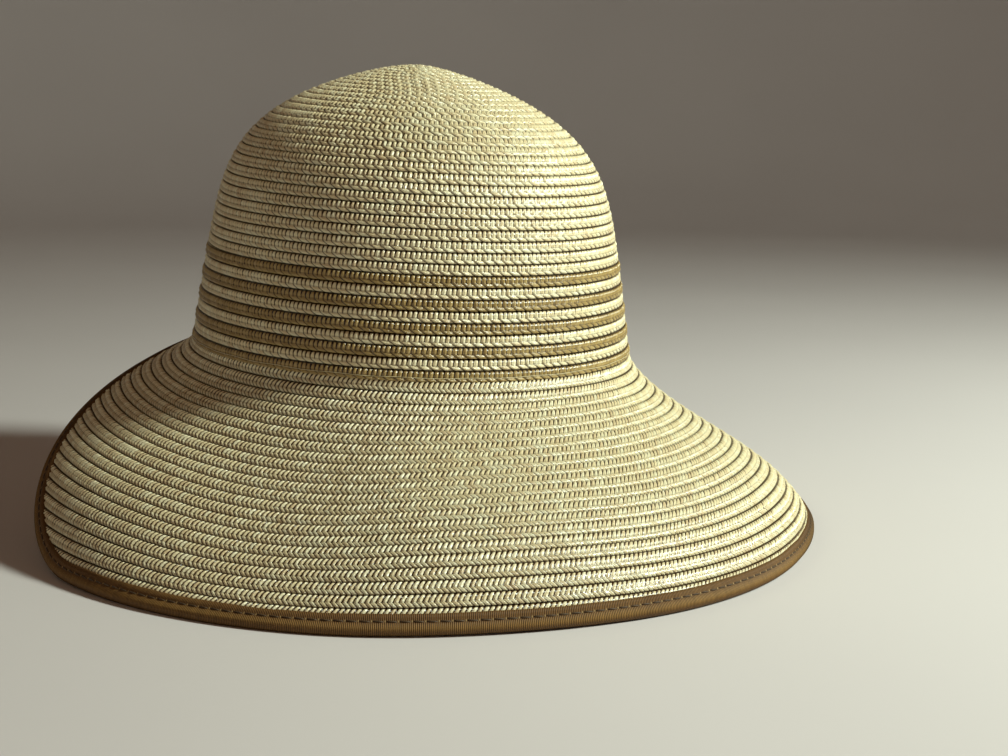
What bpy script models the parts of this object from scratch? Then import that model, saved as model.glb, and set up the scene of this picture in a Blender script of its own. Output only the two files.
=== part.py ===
"""Wide brim hat of sewn straw braid, laid down as it rests by itself.

Metres, +Z up, front towards -Y. The origin is at the middle of the part's box, on the floor.
One plaited strip is sewn in a spiral from the tip of the crown to the edge of the brim. Five of
its turns at the foot of the crown are tan, and a ribbed ribbon binds the edge of the brim.
"""
from math import atan, pi, radians

import bpy
import numpy as np

# Crown: an upright oval that leans in a little and closes in a round dome
CROWN_HALF_LENGTH = 0.0955      # front to back at the foot, outside
CROWN_HALF_WIDTH = 0.090        # side to side at the foot, outside
CROWN_HEIGHT = 0.1188           # from the foot to the tip
CROWN_LEAN_IN = 0.205           # share of the width that the walls lose on the way up
CROWN_DOME = 6.5                # power of the dome: higher is flatter on top
CROWN_TIP_SLOPE = 0.248         # slope that the dome would have at its tip
CROWN_TIP_ROUND = 0.012         # radius over which the tip is rounded off
CROWN_TOP_TILT = 0.038          # slope of the uppermost rows, down towards the front
WALL = 0.002                    # thickness of the sewn braid

# Braid rows at the foot of the crown, counted upwards: tan, straw, tan, straw ... tan
STRIPE_ROW = 0.0045
STRIPE_ROWS = 9
TAN_BULGE = 0.0005              # how far the middle of a tan row stands out
GAP = 0.0003                    # between one piece and the next

# Brim: how it slopes, in degrees below level, for each direction in degrees from the front
BRIM_SLOPE = {
    "direction": (0, 30, 60, 90, 120, 180),
    "at_crown": (34, 48, 50, 55, 28, 22),
    "at_edge": (48, 67, 31, 62, 85, 85),
}
TABLE_EASE = 14                 # directions this many degrees apart are eased together
BRIM_TURN = 30                  # degrees steeper right at the crown
BRIM_TURN_REACH = 0.006         # the turn fades over this length
BRIM_WIDTH = 0.108              # over the brim at the front and the sides, binding included
BACK_WIDTH = 0.0195             # the same at the back, where the brim is cut short
CUT_START = 87                  # degrees from the front where the cut begins
CUT_END = 149                   # and where the short back begins

# How the hat lies: the foot of the crown above the floor, and its lean towards the front
CROWN_STAND = 0.072
REST_LEAN = atan(0.034)

# Binding: a ribbon folded round the edge
BINDING_WIDTH = 0.007           # on each face
BINDING_THICKNESS = 0.001
BINDING_GAP = 0.0004

CROWN_SIDES = 48
BRIM_SIDES = 72


def crown_section(arc):
    """Share of the foot's oval, and height, at each length of arc up the crown's wall."""
    rise = 1 - (1 - np.linspace(0, 1, 400)) ** 2
    share = (1 - CROWN_LEAN_IN * rise) * (1 - rise ** CROWN_DOME)
    middle = (CROWN_HALF_LENGTH + CROWN_HALF_WIDTH) / 2
    radius = share * middle
    rounded = CROWN_TIP_SLOPE * (np.hypot(radius, CROWN_TIP_ROUND) - radius)
    height = (CROWN_HEIGHT - rounded) * rise
    steps = np.hypot(np.diff(height), middle * np.diff(share))
    length = np.concatenate([[0], np.cumsum(steps)])
    return np.interp(arc, length, share), np.interp(arc, length, height), length[-1]


def foot_radius(angle):
    """Radius of the oval at the foot of the crown, at each angle from the front."""
    along = CROWN_HALF_WIDTH * np.cos(angle)
    across = CROWN_HALF_LENGTH * np.sin(angle)
    return CROWN_HALF_LENGTH * CROWN_HALF_WIDTH / np.hypot(along, across)


def crown_ring(arc, angle, bulge=0.0):
    """One ring round the crown, whose plane tilts more the higher it is."""
    share, height, _ = crown_section(arc)
    radius = share * foot_radius(angle) + bulge
    forward = radius * np.cos(angle)
    tilt = CROWN_TOP_TILT * height / CROWN_HEIGHT
    return np.stack([radius * np.sin(angle), -forward, height - tilt * forward], -1)


def smooth_between(angle, values):
    """A column of the slope table at any angle, eased by averaging it over the near directions."""
    spread = np.radians(np.linspace(-TABLE_EASE, TABLE_EASE, 15))
    turn = np.degrees(np.abs((angle[:, None] + spread + pi) % (2 * pi) - pi))
    return np.interp(turn, BRIM_SLOPE["direction"], values).mean(axis=1)


def brim_width(angle, front=BRIM_WIDTH, back=BACK_WIDTH):
    """Width of the brim along its slope: full in front, cut short behind by an even curve."""
    turn = np.degrees(np.abs((angle + pi) % (2 * pi) - pi))
    cut = np.clip((turn - CUT_START) / (CUT_END - CUT_START), 0, 1)
    return front + (back - front) * cut * cut * (3 - 2 * cut)


def edge_bias(angle):
    """How much longer a step square to the edge becomes when it is taken along the brim's line."""
    turn = radians(1)
    change = (brim_width(angle + turn) - brim_width(angle - turn)) / (2 * turn)
    return np.hypot(1, change / (foot_radius(angle) + brim_width(angle)))


def brim_lines(angle, steps=120):
    """For each angle, the brim's line from the crown outwards: its lengths, radii and heights.

    The slope runs evenly through its value at the crown, halfway and at the full width. The
    value halfway is the one that brings the full width down to the floor.
    """
    length = np.linspace(0, BRIM_WIDTH, steps)
    middle = (length[1:] + length[:-1]) / 2
    out = middle / 0.1
    start = smooth_between(angle, BRIM_SLOPE["at_crown"])[:, None]
    end = smooth_between(angle, BRIM_SLOPE["at_edge"])[:, None]
    turn = BRIM_TURN * np.exp(-middle / BRIM_TURN_REACH)
    low, high = np.zeros((len(angle), 1)), np.full((len(angle), 1), 80.0)
    for _ in range(40):
        half = (low + high) / 2
        slope = np.radians(start * 2 * (out - 0.5) * (out - 1) - half * 4 * out * (out - 1)
                           + end * 2 * out * (out - 0.5) + turn)
        step = length[1]
        radius = foot_radius(angle)[:, None] + np.cumsum(np.cos(slope) * step, axis=1)
        drop = np.cumsum(np.sin(slope) * step, axis=1)
        floor = CROWN_STAND - np.tan(REST_LEAN) * radius[:, -1:] * np.cos(angle)[:, None]
        short = drop[:, -1:] < floor
        low, high = np.where(short, half, low), np.where(short, high, half)
    radius = np.concatenate([foot_radius(angle)[:, None], radius], axis=1)
    height = np.concatenate([np.zeros((len(angle), 1)), -drop], axis=1)
    return length, radius, height


def brim_ring(angle, width, lift=0.0):
    """The ring of brim points at a width for each angle, raised off the surface by lift."""
    length, radius, height = brim_lines(angle)
    out = np.array([np.interp(w, length, row) for w, row in zip(width, radius)])
    up = np.array([np.interp(w, length, row) for w, row in zip(width, height)])
    before = np.maximum(width - 0.001, 0)
    near = np.array([np.interp(w, length, row) for w, row in zip(before, radius)])
    near_up = np.array([np.interp(w, length, row) for w, row in zip(before, height)])
    run, fall = out - near, near_up - up
    size = np.hypot(run, fall)
    out, up = out + lift * fall / size, up + lift * run / size
    return np.stack([out * np.sin(angle), -out * np.cos(angle), up], -1)


def around(sides):
    """Directions evenly spaced all round, from the front."""
    return np.linspace(0, 2 * pi, sides, endpoint=False)


def laid_down(points):
    """Turns the crown's own frame to the pose at rest, and sets it on the floor."""
    x, y, z = points[..., 0], points[..., 1], points[..., 2]
    cosine, sine = np.cos(REST_LEAN), np.sin(REST_LEAN)
    return np.stack([x, y * cosine - z * sine, y * sine + z * cosine + CROWN_STAND * cosine], -1)


def binding_rings():
    """The ribbon's outside, from its lip on the upper face round the edge to its lip beneath."""
    angle = around(BRIM_SIDES)
    edge = brim_width(angle)
    bias = edge_bias(angle)
    upper = BINDING_GAP + BINDING_THICKNESS
    under = -WALL - upper
    lip = edge - BINDING_WIDTH * bias
    fold = edge - (upper + WALL / 2) * bias
    return [brim_ring(angle, lip, upper), brim_ring(angle, fold, upper),
            brim_ring(angle, edge, (upper + under) / 2), brim_ring(angle, fold, under),
            brim_ring(angle, lip, under)]


def middle_on_floor():
    """The move that brings the middle of the bound edge's box to the origin, on the floor."""
    edge = laid_down(np.stack(binding_rings()))
    return np.array([0, -(edge[..., 1].min() + edge[..., 1].max()) / 2, -edge[..., 2].min()])


def straw_material(name, colour, roughness):
    material = bpy.data.materials.new(name)
    material.use_nodes = True
    shader = material.node_tree.nodes["Principled BSDF"]
    shader.inputs["Base Color"].default_value = (*colour, 1)
    shader.inputs["Roughness"].default_value = roughness
    shader.inputs["Metallic"].default_value = 0
    return material


def shell(name, rings, tip, thickness, material, collection, shift):
    """Lofts a surface down through rings, closes it at the tip if there is one, and thickens it
    inwards."""
    rings = [laid_down(ring) + shift for ring in rings]
    sides = len(rings[0])
    points = np.concatenate(rings)
    here, there = np.arange(sides), (np.arange(sides) + 1) % sides
    faces = []
    for row in range(len(rings) - 1):
        upper, lower = row * sides, (row + 1) * sides
        faces += [(upper + a, lower + a, lower + b, upper + b) for a, b in zip(here, there)]
    if tip is not None:
        points = np.concatenate([points, [laid_down(tip) + shift]])
        faces += [(len(points) - 1, a, b) for a, b in zip(here, there)]
    mesh = bpy.data.meshes.new(name)
    mesh.from_pydata(points.tolist(), [], [tuple(int(i) for i in face) for face in faces])
    mesh.shade_smooth()
    mesh.materials.append(material)
    piece = bpy.data.objects.new(name, mesh)
    collection.objects.link(piece)
    wall = piece.modifiers.new("wall", 'SOLIDIFY')
    wall.thickness = thickness
    wall.offset = -1
    wall.use_even_offset = True
    return piece


def build():
    for old in list(bpy.data.objects):
        bpy.data.objects.remove(old, do_unlink=True)
    hat = bpy.data.collections.new("wide_brim_hat")
    bpy.context.scene.collection.children.link(hat)
    straw = straw_material("natural straw", (0.72, 0.60, 0.38), 0.55)
    tan = straw_material("tan straw", (0.47, 0.32, 0.14), 0.55)
    ribbon = straw_material("bronze ribbon", (0.20, 0.14, 0.055), 0.7)
    shift = middle_on_floor()
    angle = around(CROWN_SIDES)
    whole = crown_section(0.0)[2]

    # Rows at the foot of the crown, a ring of braid each
    for row in range(STRIPE_ROWS):
        low = row * STRIPE_ROW + GAP / 2
        high = (row + 1) * STRIPE_ROW - GAP / 2
        if row % 2 == 0:
            rings = [crown_ring(high, angle), crown_ring((low + high) / 2, angle, TAN_BULGE),
                     crown_ring(low, angle)]
            shell(f"tan_row_{row // 2 + 1}", rings, None, WALL, tan, hat, shift)
        else:
            rings = [crown_ring(high, angle), crown_ring(low, angle)]
            shell(f"straw_row_{row // 2 + 1}", rings, None, WALL, straw, hat, shift)

    # Dome of the crown above them
    foot = STRIPE_ROWS * STRIPE_ROW + GAP / 2
    arcs = whole - (whole - foot) * np.linspace(0.07, 1, 13)
    top_height = crown_section(whole)[1]
    rings = [crown_ring(arc, angle) for arc in arcs]
    shell("crown", rings, np.array([0, 0, top_height]), WALL, straw, hat, shift)

    # Brim, whose edge ends inside the fold of the binding
    angle = around(BRIM_SIDES)
    inner, edge, bias = GAP / 2, brim_width(angle), edge_bias(angle)
    lip = edge - BINDING_WIDTH * bias
    rings = [brim_ring(angle, inner + (lip - inner) * share)
             for share in (0, 0.05, 0.15, 0.3, 0.48, 0.66, 0.84, 1)]
    rings.append(brim_ring(angle, edge - (BINDING_THICKNESS + BINDING_GAP + WALL) * bias))
    shell("brim", rings, None, WALL, straw, hat, shift)

    # Binding, a ribbon folded round that edge
    shell("brim_binding", binding_rings(), None, BINDING_THICKNESS, ribbon, hat, shift)


build()
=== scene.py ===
"""Wide brim hat of sewn straw braid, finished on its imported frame.

One plaited strip of paper straw is sewn in a spiral from the tip of the crown to the edge of the
brim. Metres, +Z up, the front of the hat towards -Y. Angles go round from the front towards +X.
"""
from math import atan, cos, pi, radians, sin, tau

import bpy
import numpy as np
from mathutils import Matrix, Vector


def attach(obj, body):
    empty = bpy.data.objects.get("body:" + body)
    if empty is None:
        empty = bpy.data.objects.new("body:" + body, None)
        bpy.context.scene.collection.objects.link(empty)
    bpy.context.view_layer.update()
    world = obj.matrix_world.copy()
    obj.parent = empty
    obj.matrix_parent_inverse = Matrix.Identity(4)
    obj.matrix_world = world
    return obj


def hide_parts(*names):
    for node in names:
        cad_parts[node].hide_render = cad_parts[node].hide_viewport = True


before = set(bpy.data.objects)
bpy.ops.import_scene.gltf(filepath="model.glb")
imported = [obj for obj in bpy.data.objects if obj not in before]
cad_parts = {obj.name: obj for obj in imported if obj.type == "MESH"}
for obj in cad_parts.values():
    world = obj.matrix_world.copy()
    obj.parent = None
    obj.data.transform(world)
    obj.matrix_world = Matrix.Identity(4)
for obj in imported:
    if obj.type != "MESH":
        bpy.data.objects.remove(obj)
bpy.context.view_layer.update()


# Crown
# The dome of natural straw: one plaited strip of paper straw, sewn to itself turn by turn from
# the tip down, each turn tucked under the lip of the one above it. Its lowest turn is sewn to
# the stripes at the foot of the crown.
CROWN_HALF_LENGTH = 0.0955
CROWN_HALF_WIDTH = 0.090
CROWN_HEIGHT = 0.1188
CROWN_LEAN_IN = 0.205           # share of the foot's oval that the wall loses on its way up
CROWN_DOME = 6.5                # power of the height that closes the dome
CROWN_TIP_SLOPE = 0.248         # slope of the flat cone at the tip
CROWN_TIP_ROUND = 0.012         # distance from the tip within which it is rounded off
CROWN_TOP_TILT = 0.038          # slope of the top down to the front
CROWN_STAND = 0.072             # height of the crown's foot over the floor
REST_LEAN = atan(0.034)         # lean to the front, so that the hat rests on its edge
REST_SHIFT = (0.0, 0.03269, 0.00092)
STRIPE_ROW = 0.0045             # height of one row of the stripes
STRIPE_ROWS = 9
CROWN_ROWS = 31                 # turns from the tip to the stripes
PLAIT = 0.0038                  # length of one repeat of the plait along the strip
COLUMNS = 6                     # points along one repeat
STRANDS = 2                     # strands in one repeat
SPLIT = 0.62                    # share across the strip where the strands meet the links
LEAN_REACH = 1.2                # the leans run on this far, past the edges of the strip
GAP_STRAY = 0.045               # share of a repeat by which a gap strays from its place
LIFT_STRAY = 0.0001             # how much one strand stands above or below its neighbours
NARROW = 0.0022                 # width of strip under which its relief grows less
RING_PLACES = 400               # repeats between the places of one ring and those of the next

# The strip's section: share across, height, depth of the gaps between strands, and between
# links, in metres. Its first and last points close it underneath.
SECTION = np.array([
    (-0.08, -0.00170, 0, 0),
    (0.05, -0.00045, 0.00020, 0),
    (0.16, 0.00058, 0.00095, 0),
    (0.42, 0.00085, 0.00080, 0),
    (0.64, 0.00034, 0.00030, 0.00020),
    (0.78, 0.00082, 0.00008, 0.00068),
    (0.965, 0.00045, 0, 0.00070),
    (1.03, -0.00135, 0, 0),
])

# Each repeat shows two upright strands and one long link where the rows sit close together, and
# two slanting strands and two short links where they lie flat. The leans are shares of a
# repeat, and the gaps and joints give the share of the depth at each point.
CLOSE_WEAVE = {
    "strand_lean": 0.14, "link_lean": 0.67, "depth": 1.0,
    "gaps": np.array([1.25, 0, 0, 0.9, 0, 0]), "joints": np.array([1, 0.1, 0, 0.1, 0.25, 0.55]),
}
FLAT_WEAVE = {
    "strand_lean": 0.5, "link_lean": 0.48, "depth": 0.9,
    "gaps": np.array([1.25, 0, 0, 1.0, 0, 0]), "joints": np.array([1, 0.1, 0.2, 0.9, 0.1, 0.2]),
}


def smooth(value):
    """Eases from 0 to 1 as the value does: three times its square less twice its cube."""
    value = np.clip(value, 0, 1)
    return value * value * (3 - 2 * value)


def turned(angle):
    """The same direction, from minus half a turn to half a turn."""
    return (angle + pi) % tau - pi


def foot_radius(angle):
    """Radius of the oval at the foot of the crown: the product of its half axes, over the length
    of the direction with each of its parts multiplied by the other half axis."""
    along = CROWN_HALF_WIDTH * np.cos(angle)
    across = CROWN_HALF_LENGTH * np.sin(angle)
    return CROWN_HALF_LENGTH * CROWN_HALF_WIDTH / np.hypot(along, across)


def crown_line(steps=400):
    """Length of arc up the crown's wall, with the share of the foot's oval and the height there.

    The wall leans in evenly, and the share falls to nothing with a high power of the height.
    That alone would end in a flat cone, whose tip is rounded off.
    """
    rise = 1 - (1 - np.linspace(0, 1, steps)) ** 2
    share = (1 - CROWN_LEAN_IN * rise) * (1 - rise ** CROWN_DOME)
    middle = (CROWN_HALF_LENGTH + CROWN_HALF_WIDTH) / 2
    radius = share * middle
    rounded = CROWN_TIP_SLOPE * (np.hypot(radius, CROWN_TIP_ROUND) - radius)
    height = (CROWN_HEIGHT - rounded) * rise
    pieces = np.hypot(np.diff(height), middle * np.diff(share))
    return np.concatenate([[0], np.cumsum(pieces)]), share, height


ARC, SHARE, HEIGHT = crown_line()


def crown_skin(arc, angle, reach=0.0004):
    """Radius, height and outward direction (across, up) of the crown's skin. The direction is
    square to the line between the points a reach below and a reach above."""
    near, far = np.clip(arc - reach, 0, ARC[-1]), np.clip(arc + reach, 0, ARC[-1])
    run = foot_radius(angle) * (np.interp(far, ARC, SHARE) - np.interp(near, ARC, SHARE))
    climb = np.interp(far, ARC, HEIGHT) - np.interp(near, ARC, HEIGHT)
    size = np.hypot(run, climb)
    radius = foot_radius(angle) * np.interp(arc, ARC, SHARE)
    return radius, np.interp(arc, ARC, HEIGHT), climb / size, -run / size


def placed(angle, radius, height):
    """Points of the hat as it lies: the higher rows tilt, and the whole leans to the front."""
    x, y = radius * np.sin(angle), -radius * np.cos(angle)
    z = height + CROWN_TOP_TILT * np.maximum(height, 0) / CROWN_HEIGHT * y
    lean, stand = np.cos(REST_LEAN), np.sin(REST_LEAN)
    points = np.stack([x, y * lean - z * stand, y * stand + z * lean + CROWN_STAND * lean], -1)
    return points + REST_SHIFT


def lengths(line):
    """Length along a line of points, from the first point to each."""
    return np.concatenate([[0], np.cumsum(np.linalg.norm(np.diff(line, axis=0), axis=1))])


def mesh_piece(name, points, polygons, uv, finish, node, period=None):
    """A piece from whole arrays: points, arrays of polygons by their number of corners, and a
    place on the plait for each point. Points that no polygon uses are left out. Round a closed
    ring the places start again after the period, which the last faces run up to.
    """
    corners = np.concatenate([polygon.ravel() for polygon in polygons])
    used, corners = np.unique(corners, return_inverse=True)
    sizes = np.concatenate([np.full(len(polygon), polygon.shape[1]) for polygon in polygons])
    mesh = bpy.data.meshes.new(name)
    mesh.vertices.add(len(used))
    mesh.vertices.foreach_set("co", points[used].astype(np.float32).ravel())
    mesh.loops.add(len(corners))
    mesh.loops.foreach_set("vertex_index", corners.astype(np.int32))
    mesh.polygons.add(len(sizes))
    mesh.polygons.foreach_set("loop_start", (np.cumsum(sizes) - sizes).astype(np.int32))
    mesh.update(calc_edges=True)
    place = uv[used][corners]
    if period:
        quads = place[:4 * len(polygons[0]), 0].reshape(-1, 4)
        quads += period * (quads < quads.max(axis=1, keepdims=True) - period / 2)
    layer = mesh.uv_layers.new(name="braid")
    layer.uv.foreach_set("vector", place.astype(np.float32).ravel())
    mesh.shade_smooth()
    mesh.materials.append(finish)
    piece = bpy.data.objects.new(name, mesh)
    bpy.context.scene.collection.objects.link(piece)
    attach(piece, "root")
    if node:
        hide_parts(node)
    return piece


def strip_faces(count, gone, closed):
    """Quads from each point along the strip to the next, all round its section, and a cap on
    each open end. Stretches that lie wholly past a limit are left out."""
    level = np.arange(len(SECTION))
    step = np.arange(count if closed else count - 1)
    after = (step + 1) % count
    kept = ~(gone[step] & gone[after])
    step, after = step[kept], after[kept]
    here, below = level[:, None] * count, (level[:, None] + 1) % len(SECTION) * count
    quads = np.stack([here + step, below + step, below + after, here + after], -1).reshape(-1, 4)
    if closed:
        return [quads]
    begins, ends = np.setdiff1d(step, after), np.setdiff1d(after, step)
    return [quads, begins[:, None] + level[::-1] * count, ends[:, None] + level * count]


def plaited(name, skin, first, last, start, end, weave, finish, node,
            limit=None, press=None, ring=0):
    """A stretch of the plaited strip along its spiral, from one angle to another.

    first and last give the strip's upper and lower edge on the skin for each angle. The section
    is carried along the strip. Above, it is cut by the gaps between the strands, which lean one
    way, and below by the joints between the links, which lean the other way. limit holds the
    strip inside an edge, and press gives the share of the relief that is left at each point.
    Each closed ring has a number, counted from 1.
    """
    rng = np.random.default_rng(sum(map(ord, name)))
    closed = ring > 0

    # Length along the strip, and how many repeats fit on it
    margin = radians(3)
    table = np.arange(start - margin, end + margin, radians(0.5))
    middle = (first(table) + last(table)) / 2
    length = lengths(placed(table, *skin(middle, table)[:2]))
    length -= np.interp(start, table, length)
    total = np.interp(end, table, length)
    repeats = round(total / PLAIT) if closed else total / PLAIT
    count = int(repeats * COLUMNS) + (0 if closed else 1)
    column = np.arange(count)

    # The angle of each point, with the leans and the chance shift of the gaps
    share, high, gap, link = SECTION.T[:, :, None]
    gaps, joints = weave["gaps"][column % COLUMNS], weave["joints"][column % COLUMNS]
    strand = column * STRANDS // COLUMNS
    chance = rng.uniform(-1, 1, (2, strand[-1] + 1))[:, strand]
    shift = np.where(gaps > 0, GAP_STRAY * chance[0], 0)
    upper = np.clip((SPLIT - share) / SPLIT, 0, LEAN_REACH) * weave["strand_lean"]
    lower = np.clip((share - SPLIT) / (1 - SPLIT), 0, LEAN_REACH) * weave["link_lean"]
    place = column / COLUMNS + shift + upper + lower
    if closed:
        angle = np.interp(place % repeats, length * repeats / total, table)
    else:
        angle = np.interp(place * total / repeats, length, table)

    # Relief, less where the strip is narrow and where something presses on it
    lift = high - weave["depth"] * gap * gaps - link * joints
    lift = lift + LIFT_STRAY * chance[1] * (high > 0)
    top, bottom = first(angle), last(angle)
    across = top + share * (bottom - top)
    size = np.clip(np.abs(bottom - top) / NARROW, 0.05, 1)
    lift = np.where(lift > 0, lift * size, lift)
    gone = np.zeros(count, bool)
    if limit is not None:
        across, gone = limit(across, angle)
        gone = gone.all(axis=0)
    if press is not None:
        lift = np.where(lift > 0, lift * press(across, angle), lift)

    radius, height, out, up = skin(across, angle)
    points = placed(angle, radius + lift * out, height + lift * up)
    across_strip = np.broadcast_to(np.clip(share, 0, 1), angle.shape)
    along_strip = np.broadcast_to(column / COLUMNS + RING_PLACES * ring, angle.shape)
    uv = np.stack([along_strip, across_strip], -1).reshape(-1, 2)
    return mesh_piece(name, points.reshape(-1, 3), strip_faces(count, gone, closed), uv, finish,
                      node, repeats if closed else None)


class Field:
    """A shader value that takes ordinary arithmetic, so that a pattern reads as its formula."""

    def __init__(self, finish, socket):
        self.finish, self.socket = finish, socket

    def maths(self, operation, *others):
        values = dict(enumerate((self, *others)))
        return self.finish.node("Math", {"operation": operation}, values)

    def __add__(self, other):
        return self.maths("ADD", other)

    def __sub__(self, other):
        return self.maths("SUBTRACT", other)

    def __mul__(self, other):
        return self.maths("MULTIPLY", other)

    def __rsub__(self, other):
        return self * -1 + other

    __radd__ = __add__
    __rmul__ = __mul__

    def fraction(self):
        return self.maths("FRACT")

    def whole(self):
        return self.maths("FLOOR")

    def away_from_whole(self):
        """Distance to the nearest whole number."""
        return ((self + 0.5).fraction() - 0.5).maths("ABSOLUTE")

    def bump(self, middle, reach):
        """1 at the middle, falling smoothly to 0 at the reach on both sides."""
        away = (self - middle).maths("ABSOLUTE")
        return away.ramp(reach, 0)

    def ramp(self, low, high):
        """Eases from 0 to 1 as the value goes from low to high, which may lie either way."""
        if low > high:
            return 1 - self.ramp(high, low)
        values = {"Value": self, "From Min": low, "From Max": high}
        return self.finish.node("MapRange", {"interpolation_type": "SMOOTHSTEP"}, values)


class Finish:
    """A material in the making: each node takes its settings, then its values and links."""

    def __init__(self, name):
        self.material = bpy.data.materials.new(name)
        self.material.use_nodes = True
        self.tree = self.material.node_tree
        self.shader = self.tree.nodes["Principled BSDF"]

    def node(self, kind, settings=None, values=None, out=0):
        node = self.tree.nodes.new("ShaderNode" + kind)
        for name, value in (settings or {}).items():
            setattr(node, name, value)
        for name, value in (values or {}).items():
            self.feed(node.inputs[name], value)
        return Field(self, node.outputs[out])

    def feed(self, socket, value):
        if isinstance(value, Field):
            self.tree.links.new(value.socket, socket)
        else:
            socket.default_value = value

    def mix(self, factor, first, second, blend="MIX"):
        first = first if isinstance(first, Field) else (*first, 1)
        second = second if isinstance(second, Field) else (*second, 1)
        settings = {"data_type": "RGBA", "blend_type": blend}
        return self.node("Mix", settings, {0: factor, 6: first, 7: second}, out=2)

    def vector(self, *parts):
        return self.node("CombineXYZ", None, dict(enumerate(parts)))

    def places(self):
        """Place along the strip or ribbon, and share across it, from the piece's UV map."""
        along = self.node("SeparateXYZ", None, {0: self.node("UVMap", {"uv_map": "braid"})})
        return along, Field(self, along.socket.node.outputs[1])

    def noise(self, scale, vector=None):
        """Noise of a scale, over the object's own coordinates or another vector."""
        vector = vector or self.node("TexCoord", out=3)
        return self.node("TexNoise", None, {"Vector": vector, "Scale": scale, "Detail": 2.0})

    def chance(self, vector):
        """A random number for each whole place."""
        return self.node("TexWhiteNoise", None, {"Vector": vector})

    def done(self, colour, roughness, bump=None, depth=0.0):
        self.feed(self.shader.inputs["Base Color"], colour)
        self.feed(self.shader.inputs["Roughness"], roughness)
        if bump is not None:
            values = {"Strength": 1.0, "Distance": depth, "Height": bump}
            self.feed(self.shader.inputs["Normal"], self.node("Bump", None, values))
        return self.material


STRAW_COLOURS = (0.95, 0.90, 0.63), (0.88, 0.77, 0.48), (0.74, 0.57, 0.33)
# Colour of the painted shade in the straw's gaps, joints and row lines
PAINTED_SHADE_COLOUR = (0.06, 0.024, 0.006)


def straw_finish(name, light, middle, deep, links=1):
    """Plaited paper straw: each strand has a tint of its own between three colours, with fine
    streaks along it. Painted shade darkens it in the gaps, under the lip above, at the links'
    joints, along the line between strands and links, and a little on all of the flatter links."""
    finish = Finish(name)
    along, across = finish.places()
    lower = across.ramp(SPLIT, SPLIT + 0.1)

    # A tint for each strand and link, streaks along it, and slow blotches over the hat
    tint = finish.chance(finish.vector((along * STRANDS).whole(), 3, 0))
    link_tint = finish.chance(finish.vector((along * links).whole(), 7, 0))
    tint = tint + (link_tint - tint) * lower
    streak = finish.noise(1.0, finish.vector(along * 30, across * 3, 0))
    shade = tint * 0.7 + streak * 0.6 + finish.noise(28.0) * 0.3 - 0.3
    colour = finish.mix(shade.ramp(0.15, 0.5), light, middle)
    colour = finish.mix(shade.ramp(0.6, 1.05), colour, deep)

    # Painted shade in the gaps between strands, widening towards the upper edge, at the joints
    # between links, and along the line between the two
    wide = across.ramp(0.6, 0.12) * 0.13 + tint * 0.05 + 0.06 + 0.04 * links
    gap = (wide - (along * STRANDS).away_from_whole()).ramp(0.0, 0.11)
    joint = (along * links).away_from_whole().ramp(0.11 + 0.04 * links, 0.02)
    painted_shade = gap * (1 - lower) + joint * lower * 0.85 + across.bump(SPLIT, 0.09) * 0.35

    # Painted shade under the lip of the row above, and a little on all of the flatter links
    painted_shade = painted_shade + across.ramp(0.20, 0.05) + lower * 0.12 * (links - 1)
    painted_shade_tint = finish.mix(painted_shade.maths("MINIMUM", 1.0), (1, 1, 1), PAINTED_SHADE_COLOUR)
    colour = finish.mix(1.0, colour, painted_shade_tint, "MULTIPLY")
    finish.shader.inputs["Specular IOR Level"].default_value = 1.0
    return finish.done(colour, streak * 0.2 + 0.14, streak, 0.00016)


straw = straw_finish("natural straw", *STRAW_COLOURS)

# How far down from the tip each turn lies: the turns are a little closer together near the tip.
TIP_ROW = 0.8                   # spacing at the tip, as a share of that on the wall
EVEN_FROM = 20                  # turns from the tip to the even spacing
LEVEL_FROM = 6                  # turns from the tip to the level rows
STEP_FROM = 1.75                # angle from the front where the step to the next turn starts
STEP_OVER = 1.39                # angle that the step is spread over, on each side
TIP_START = 0.3                 # angle where the strip starts at the tip
TURNS = np.linspace(0, CROWN_ROWS + 2, 661)
spacing = TIP_ROW + (1 - TIP_ROW) * smooth(TURNS / EVEN_FROM)
DOWN = np.concatenate([[0], np.cumsum((spacing[1:] + spacing[:-1]) / 2)])
DOWN *= (ARC[-1] - STRIPE_ROWS * STRIPE_ROW) / np.interp(CROWN_ROWS, TURNS, DOWN)


def crown_turns(angle):
    """Turns of the strip from the tip: even near it, and lower down level in front and at the
    sides, with the step to the next turn spread over the back."""
    away = turned(angle)
    step = 0.5 * smooth((np.abs(away) - STEP_FROM) / STEP_OVER)
    level = np.round((angle - away) / tau) + np.sign(away) * step
    blend = smooth(angle / (LEVEL_FROM * tau))
    return angle / tau * (1 - blend) + level * blend


def crown_first(angle):
    """Upper edge of the strip: one turn above its lower edge."""
    return ARC[-1] - np.interp(crown_turns(angle) - 1, TURNS, DOWN)


def crown_last(angle):
    """Lower edge of the strip, as a length of arc up from the foot."""
    return ARC[-1] - np.interp(crown_turns(angle), TURNS, DOWN)


def crown_limit(across, angle):
    """Stops the strip at the tip, and at the top of the stripes."""
    low, high = STRIPE_ROWS * STRIPE_ROW - 0.0002, ARC[-1] - 0.0001
    return np.clip(across, low, high), across < low


# The crown's two pieces meet behind
marks = TIP_START, 19 * tau + pi, (CROWN_ROWS + 1) * tau - STEP_FROM
for name, start, stop in zip(("crown_top", "crown_wall"), marks, marks[1:]):
    piece = plaited(name, crown_skin, crown_first, crown_last, start, stop, CLOSE_WEAVE, straw,
                    "crown", crown_limit)


# Rows at the foot of the crown
# Nine turns of the same strip, tan and natural by turns, the tan ones a little fuller. Each is
# sewn under the lip of the row above it.
TAN_COLOURS = (0.49, 0.355, 0.135), (0.41, 0.285, 0.095), (0.29, 0.185, 0.057)
TAN_BULGE = 0.0004
tan = straw_finish("tan straw", *TAN_COLOURS)


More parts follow.
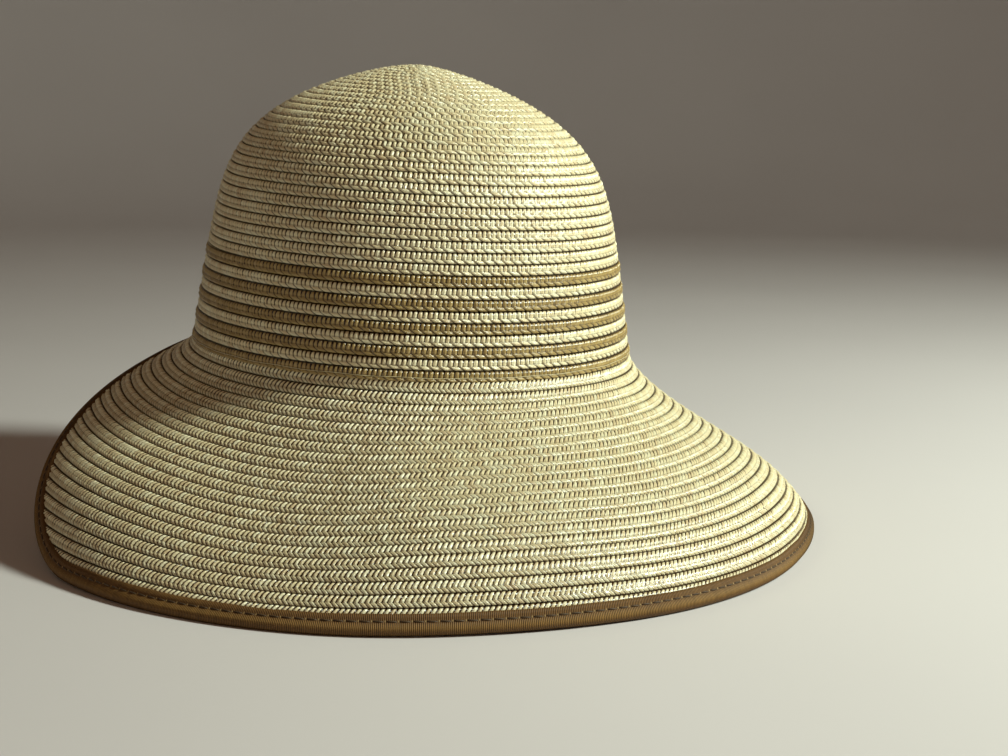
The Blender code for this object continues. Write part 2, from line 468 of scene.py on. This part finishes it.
def stripe(row):
    """A closed ring of the strip at one row of the stripes, counted from the foot."""
    is_tan = row % 2 == 0
    kind = "tan" if is_tan else "straw"
    name, node = f"{kind}_braid_{row // 2 + 1}", f"{kind}_row_{row // 2 + 1}"
    bulge = TAN_BULGE if is_tan else 0.0

    def skin(arc, angle):
        radius, height, out, up = crown_skin(arc, angle)
        return radius + bulge * out, height + bulge * up, out, up

    def first(angle):
        return np.full_like(angle, (row + 1) * STRIPE_ROW)

    def last(angle):
        return np.full_like(angle, row * STRIPE_ROW)

    piece = plaited(name, skin, first, last, -pi, pi, CLOSE_WEAVE, tan if is_tan else straw, node,
                    ring=row + 1)


for row in range(STRIPE_ROWS):
    stripe(row)


# Sewing thread
# The fine pale thread that the lowest tan row is sewn down with lies along its lower links, and
# dips in among them here and there.
THREAD_RADIUS = 0.00011
THREAD_SIDES = 6
THREAD_POINTS = 1440


def thread_points(angle, turn):
    """A thin tube round the lowest row. Its middle wanders up and down the row in even waves, and
    rises and dips with the product of a quick and a slow wave."""
    dip = 0.00025 * np.sin(angle * 61) * np.sin(angle * 7 + 1)
    radius, height, out, up = crown_skin(0.0016 + 0.00012 * np.sin(angle * 23), angle)
    side, lift = THREAD_RADIUS * np.cos(turn), 0.00105 + dip + THREAD_RADIUS * np.sin(turn)
    return placed(angle, radius + lift * out + side * up, height + lift * up - side * out)


def ring_faces(rows, columns):
    """Quads of a closed tube, with so many rows round its section and columns along it."""
    row, column = np.arange(rows)[:, None], np.arange(columns)
    here, below, after = row * columns, (row + 1) % rows * columns, (column + 1) % columns
    return np.stack([here + column, here + after, below + after, below + column],
                    -1).reshape(-1, 4)


turn = np.linspace(0, tau, THREAD_SIDES, endpoint=False)[:, None]
points = thread_points(np.linspace(-pi, pi, THREAD_POINTS, endpoint=False), turn)
uv = np.stack(np.broadcast_arrays(np.arange(THREAD_POINTS) / 4, turn), -1).reshape(-1, 2)
cotton = Finish("pale sewing thread")
twist = cotton.noise(1500.0)
colour = cotton.mix(twist, (0.62, 0.52, 0.28), (0.80, 0.72, 0.46))
piece = mesh_piece("sewing_thread", points.reshape(-1, 3),
                   [ring_faces(THREAD_SIDES, THREAD_POINTS)], uv,
                   cotton.done(colour, 0.5, twist, 0.00005), None, THREAD_POINTS // 4)


# Brim
# About twenty-one more turns of natural straw, sewn on flatter, so that the strands show as
# chevrons. It slopes down all round and is cut short behind.
BRIM_SLOPE = {                  # degrees down, at directions in degrees from the front
    "direction": (0, 30, 60, 90, 120, 180),
    "at_crown": (34, 48, 50, 55, 28, 22),
    "at_edge": (48, 67, 31, 62, 85, 85),
}
SLOPE_EASE = 14                 # degrees on each side that a slope is averaged over
SLOPE_LENGTH = 0.1              # distance from the crown where the slope is the one at the edge
STEEPEST = 80.0                 # most degrees that the slope halfway is sought among
BRIM_TURN = 30                  # degrees that the brim is steeper where it leaves the crown
BRIM_TURN_REACH = 0.006
BRIM_WIDTH = 0.108
BACK_WIDTH = 0.0195
CUT_START = 87                  # degrees from the front where the brim starts to narrow
CUT_END = 149                   # degrees from the front where it is narrowest
BRIM_ROW = 0.00475
BRIM_START = -0.0004            # where the first turn starts, just inside the crown's foot
FOLDED_IN = 0.004               # distance from the edge where the strip stops in the binding
COVERED = 0.0064                # distance from the edge that the binding covers


def smooth_between(angle, values):
    """A column of the slope table at any angle, averaged over the near directions."""
    spread = np.radians(np.linspace(-SLOPE_EASE, SLOPE_EASE, 15))
    turn = np.degrees(np.abs(turned(angle[:, None] + spread)))
    return np.interp(turn, BRIM_SLOPE["direction"], values).mean(axis=1)


def brim_width(angle):
    """Width of the brim along its slope: full in front, cut short behind by an even curve."""
    cut = smooth((np.degrees(np.abs(turned(angle))) - CUT_START) / (CUT_END - CUT_START))
    return BRIM_WIDTH + (BACK_WIDTH - BRIM_WIDTH) * cut


def brim_table(steps=120):
    """Lengths from the crown outwards, and the brim's radius and height there all round.

    The slope runs evenly through its value at the crown, halfway and at the edge. The value
    halfway is found by halving, so that the full width comes down to the floor.
    """
    angle = np.linspace(-pi, pi, 721)
    length = np.linspace(0, BRIM_WIDTH, steps)
    step = length[1]
    middle = (length[1:] + length[:-1]) / 2
    out = middle / SLOPE_LENGTH
    at_crown = smooth_between(angle, BRIM_SLOPE["at_crown"])[:, None]
    at_edge = smooth_between(angle, BRIM_SLOPE["at_edge"])[:, None]
    turn = BRIM_TURN * np.exp(-middle / BRIM_TURN_REACH)
    low, high = np.zeros((len(angle), 1)), np.full((len(angle), 1), STEEPEST)
    for _ in range(40):
        half = (low + high) / 2
        slope = np.radians(at_crown * 2 * (out - 0.5) * (out - 1) - half * 4 * out * (out - 1)
                           + at_edge * 2 * out * (out - 0.5) + turn)
        radius = foot_radius(angle)[:, None] + np.cumsum(np.cos(slope) * step, axis=1)
        drop = np.cumsum(np.sin(slope) * step, axis=1)
        down = CROWN_STAND - np.tan(REST_LEAN) * radius[:, -1:] * np.cos(angle)[:, None]
        short = drop[:, -1:] < down
        low, high = np.where(short, half, low), np.where(short, high, half)
    radius = np.concatenate([foot_radius(angle)[:, None], radius], axis=1)
    return step, radius, np.concatenate([np.zeros((len(angle), 1)), -drop], axis=1)


BRIM_STEP, BRIM_RADII, BRIM_HEIGHTS = brim_table()


def brim_skin(width, angle):
    """Radius, height and outward direction (across, up) of the brim's upper face, read between
    the nearest places of the brim's table."""
    row = (turned(angle) + pi) / tau * (len(BRIM_RADII) - 1)
    column = width / BRIM_STEP
    low_row = np.clip(row.astype(int), 0, len(BRIM_RADII) - 2)
    low_column = np.clip(np.floor(column).astype(int), 0, BRIM_RADII.shape[1] - 2)
    row, column = row - low_row, column - low_column

    def read(table):
        near = table[low_row, low_column] * (1 - row) + table[low_row + 1, low_column] * row
        far = table[low_row, low_column + 1] * (1 - row) + table[low_row + 1, low_column + 1] * row
        return near + (far - near) * column, far - near

    radius, run = read(BRIM_RADII)
    height, climb = read(BRIM_HEIGHTS)
    size = np.hypot(run, climb)
    return radius, height, -climb / size, run / size


def brim_first(angle):
    """Inner edge of the strip: one turn further in than its outer edge, up to the crown."""
    return np.maximum(BRIM_ROW * (angle / tau - 1) + BRIM_START, -0.001)


def brim_last(angle):
    """Outer edge of the strip, as a distance from the crown along the slope."""
    return BRIM_ROW * angle / tau + BRIM_START


def brim_limit(across, angle):
    """Stops the strip inside the fold of the binding."""
    edge = brim_width(angle) - FOLDED_IN
    return np.minimum(across, edge), across > edge


def under_binding(across, angle):
    """Share of the relief that is left: less where the binding covers it, and all of it again
    within a millimetre."""
    inside = brim_width(angle) - COVERED - across
    return 0.4 + 0.6 * smooth(inside / 0.001)


flat_straw = straw_finish("natural straw laid flat", *STRAW_COLOURS, links=2)

# The brim's three pieces meet behind as well
marks = 0.02, 8 * tau + pi, 15 * tau + pi, 22 * tau + pi
for name, start, stop in zip(("brim_inner", "brim_middle", "brim_outer"), marks, marks[1:]):
    piece = plaited(name, brim_skin, brim_first, brim_last, start, stop, FLAT_WEAVE, flat_straw,
                    "brim", brim_limit, under_binding)


# Binding
# A ribbed bronze ribbon, folded over the cut edge of the brim from above and below, and sewn
# through along its middle. Its ribs run across it, and the sewn line draws it in a little.
RIB = 0.00063                   # distance from one rib to the next
RIB_HEIGHT = 0.00006
STITCH_RIBS = 7                 # ribs from one stitch to the next
FREE_EDGE = 0.0067              # distance in from the fold where the ribbon's free edges lie
EDGE_STRAY = 0.00015            # how far the free edges stray in and out
EDGE_WAVES = 90                 # places round the edge where they stray anew

# The ribbon's section: distance in from the edge, and height over the brim, in metres
RIBBON = np.array([
    (7.05, 0.4), (6.85, 1.1), (5.4, 1.15), (4.3, 0.86), (3.3, 1.2), (1.9, 1.35), (0.8, 0.95),
    (0.1, -0.1), (-0.1, -1.0), (0.1, -1.9), (0.9, -2.8), (2.2, -3.15), (6.8, -3.0), (7.0, -2.5),
]) / 1000


def edge_bias(angle):
    """How much longer a step square to the edge is when it is taken along the brim's line."""
    turn = radians(1)
    change = (brim_width(angle + turn) - brim_width(angle - turn)) / (2 * turn)
    return np.hypot(1, change / (foot_radius(angle) + brim_width(angle)))


def on_edge(inset, lift, angle):
    """Points near the brim's edge: so far in from it, and so high over the brim."""
    radius, height, out, up = brim_skin(brim_width(angle) - inset * edge_bias(angle), angle)
    return placed(angle, radius + lift * out, height + lift * up)


def ribbon_finish():
    """Ribbed bronze ribbon: painted shade between the ribs, at the very edge and along the sewn
    line, lighter where it rolls over and where a stitch draws it in, with a slow change of tint
    along it."""
    finish = Finish("bronze ribbon")
    along, across = finish.places()
    rib = along.fraction().bump(0.5, 0.5)
    thread = finish.chance(finish.vector(along.whole(), 5, 0))
    # Lighter towards where the ribbon rolls over the edge, with a slow change of tint
    rolled_band = across.bump(0.37, 0.13) * 0.6 + finish.noise(60.0) * 0.4
    colour = finish.mix(rolled_band, (0.155, 0.070, 0.017), (0.31, 0.170, 0.045))
    # Painted shade between the ribs, with a chance tint for each rib
    shade = 0.14 + rib * 0.96 + thread * 0.16
    colour = finish.mix(1.0, colour, finish.vector(shade, shade, shade), "MULTIPLY")
    # Painted shade at the very edge, where the ribbon turns over, and in the sewn line where the
    # stitches draw it in
    painted_edge_shade = across.bump(0.60, 0.09) * 0.5 + across.bump(0.235, 0.035) * 0.4
    colour = finish.mix(painted_edge_shade, colour, (0.04, 0.02, 0.006))
    drawn = (along * (1 / STITCH_RIBS)).fraction()
    drawn = (drawn.bump(0, 0.07) + drawn.bump(1, 0.07)) * across.bump(0.225, 0.04)
    colour = finish.mix(drawn, colour, (0.42, 0.30, 0.13))
    finish.shader.inputs["Specular IOR Level"].default_value = 0.3
    return finish.done(colour, 0.70 - rib * 0.12, rib, 0.0001)


table = np.linspace(-pi, pi, 2881)
length = lengths(on_edge(0.0, 0.0, table))
ribs = round(length[-1] / RIB / STITCH_RIBS) * STITCH_RIBS
column = np.arange(2 * ribs)
angle = np.interp(column * length[-1] / len(column), length, table)
inset, lift = RIBBON.T[:, :, None]
stray = np.interp(length, np.linspace(0, length[-1], EDGE_WAVES),
                  np.random.default_rng(5).uniform(-1, 1, EDGE_WAVES), period=length[-1])
stray = EDGE_STRAY * np.interp(angle, table, stray) * (inset > FREE_EDGE)
rib = np.where(column % 2 == 0, RIB_HEIGHT, -RIB_HEIGHT) * np.sign(lift + 0.0002)
points = on_edge(inset + stray, lift + rib, angle)
across = np.arange(len(RIBBON))[:, None] / (len(RIBBON) - 1)
uv = np.stack(np.broadcast_arrays(column / 2, across), -1).reshape(-1, 2)
piece = mesh_piece("ribbon_binding", points.reshape(-1, 3),
                   [ring_faces(len(RIBBON), len(column))], uv, ribbon_finish(),
                   "brim_binding", ribs)

# Stitches that hold the ribbon, a little over four millimetres apart on the sewn line
STITCH_LENGTH = 0.0038
STITCH_SLANT = 0.00032          # how far each stitch slants across the sewn line
STITCH_INSET = 0.0043
STITCH_SIDES = 6
# Place along the stitch, height over the brim and thickness in millimetres: it rises out of the
# ribbon and dips in again
STITCH = np.array([(-0.5, 0.2, 0.10), (-0.42, 0.85, 0.20), (-0.2, 1.12, 0.24), (0.2, 1.12, 0.24),
                   (0.42, 0.85, 0.20), (0.5, 0.2, 0.10)])

count = ribs // STITCH_RIBS
centre = (np.arange(count) + 0.5) / count * length[-1]
turn = np.linspace(0, tau, STITCH_SIDES, endpoint=False)
along, high, thick = STITCH.T[:, None, :, None]
angle = np.interp(centre[:, None, None] + along * STITCH_LENGTH, length, table)
side = thick * 0.001 * np.cos(turn)
top = high * 0.001 + thick * 0.001 * np.sin(turn)
angle, side, top = np.broadcast_arrays(angle, side, top)
points = on_edge(STITCH_INSET - side - along * STITCH_SLANT, top, angle)
begins = np.arange(count)[:, None] * len(STITCH) * STITCH_SIDES
ends = begins + (len(STITCH) - 1) * STITCH_SIDES
spot = np.arange(STITCH_SIDES)
base = begins[:, None] + np.arange(len(STITCH) - 1)[:, None] * STITCH_SIDES
here, beside = base + spot, base + (spot + 1) % STITCH_SIDES
quads = np.stack([here, here + STITCH_SIDES, beside + STITCH_SIDES, beside], -1).reshape(-1, 4)
caps = np.concatenate([begins + spot, ends + spot[::-1]])
uv = np.stack([angle, top * 1000], -1).reshape(-1, 2)
thread = Finish("sewing thread")
strand = thread.noise(900.0)
colour = thread.mix(strand, (0.045, 0.024, 0.009), (0.09, 0.052, 0.02))
piece = mesh_piece("ribbon_stitches", points.reshape(-1, 3), [quads, caps], uv,
                   thread.done(colour, 0.6, strand, 0.0001), None)


# Studio
# A pale floor that curves up all round, a soft light from the front on the hat's left, a weak
# warm one from the camera's side and a faint warm sky.
FLOOR_SPOKES = 96
FLOOR_LINE = np.array([         # distance from the middle, and height
    (0.02, 0), (2.0, 0), (2.3, 0.05), (2.55, 0.2), (2.7, 0.45), (2.78, 0.8), (2.8, 2.6)])
LIGHT_TARGET = Vector((0, 0, 0.08))

around = np.linspace(0, tau, FLOOR_SPOKES, endpoint=False)
out, high = FLOOR_LINE.T[:, :, None]
points = np.stack([out * np.sin(around), -out * np.cos(around),
                   np.broadcast_to(high, (len(FLOOR_LINE), FLOOR_SPOKES))], -1).reshape(-1, 3)
ring = np.arange(len(FLOOR_LINE) - 1)[:, None] * FLOOR_SPOKES
here, after = ring + np.arange(FLOOR_SPOKES), ring + (np.arange(FLOOR_SPOKES) + 1) % FLOOR_SPOKES
quads = np.stack([here, here + FLOOR_SPOKES, after + FLOOR_SPOKES, after], -1).reshape(-1, 4)
mesh = bpy.data.meshes.new("studio_floor")
mesh.from_pydata(points.tolist(), [], quads.tolist() + [list(range(FLOOR_SPOKES))])
mesh.shade_smooth()
floor = bpy.data.objects.new("studio_floor", mesh)
bpy.context.scene.collection.objects.link(floor)
paper = Finish("studio paper")
tone = paper.mix(paper.noise(3.0), (0.64, 0.61, 0.62), (0.70, 0.67, 0.68))
mesh.materials.append(paper.done(tone, 0.9))


def area_light(name, azimuth, elevation, distance, size, power, colour):
    """A square light that looks at the hat; its azimuth is counted from the front towards +X."""
    way = Vector((sin(radians(azimuth)) * cos(radians(elevation)),
                  -cos(radians(azimuth)) * cos(radians(elevation)), sin(radians(elevation))))
    light = bpy.data.lights.new(name, "AREA")
    light.size, light.energy, light.color = size, power, colour
    lamp = bpy.data.objects.new(name, light)
    lamp.location = LIGHT_TARGET + way * distance
    lamp.rotation_euler = way.to_track_quat("Z", "Y").to_euler()
    bpy.context.scene.collection.objects.link(lamp)


area_light("key_light", azimuth=32, elevation=34, distance=1.3, size=0.22, power=22.5,
           colour=(0.92, 1.0, 0.86))
area_light("fill_light", azimuth=-50, elevation=40, distance=1.9, size=0.9, power=1.3,
           colour=(1.0, 0.50, 0.22))
world = bpy.data.worlds.new("sky")
world.use_nodes = True
world.node_tree.nodes["Background"].inputs["Color"].default_value = (1.0, 0.62, 0.36, 1)
world.node_tree.nodes["Background"].inputs["Strength"].default_value = 0.09
bpy.context.scene.world = world

# Camera, fitted to the photograph: its place round the hat, then its own turns
CAMERA_DISTANCE = 0.604
CAMERA_TARGET = Vector((0, 0, 0.09))
azimuth, elevation = radians(-42.724), radians(6.695)
yaw, pitch, roll = radians(1.649), radians(-2.732), radians(0.635)
way = Vector((sin(azimuth) * cos(elevation), -cos(azimuth) * cos(elevation), sin(elevation)))
level = Vector((cos(azimuth), sin(azimuth), 0))
ahead = -way
above = level.cross(ahead)
look = ahead * cos(yaw) * cos(pitch) + level * sin(yaw) * cos(pitch) + above * sin(pitch)
right = level * cos(yaw) - ahead * sin(yaw)
up = right.cross(look)
right, up = right * cos(roll) + up * sin(roll), up * cos(roll) - right * sin(roll)
lens = bpy.data.cameras.new("camera")
lens.lens = 52
lens.sensor_width = 36
camera = bpy.data.objects.new("camera", lens)
camera.matrix_world = Matrix.Translation(CAMERA_TARGET + way * CAMERA_DISTANCE) @ Matrix(
    (right, up, -look)).transposed().to_4x4()
bpy.context.scene.collection.objects.link(camera)
bpy.context.scene.camera = camera

bpy.context.scene.view_settings.view_transform = "Standard"
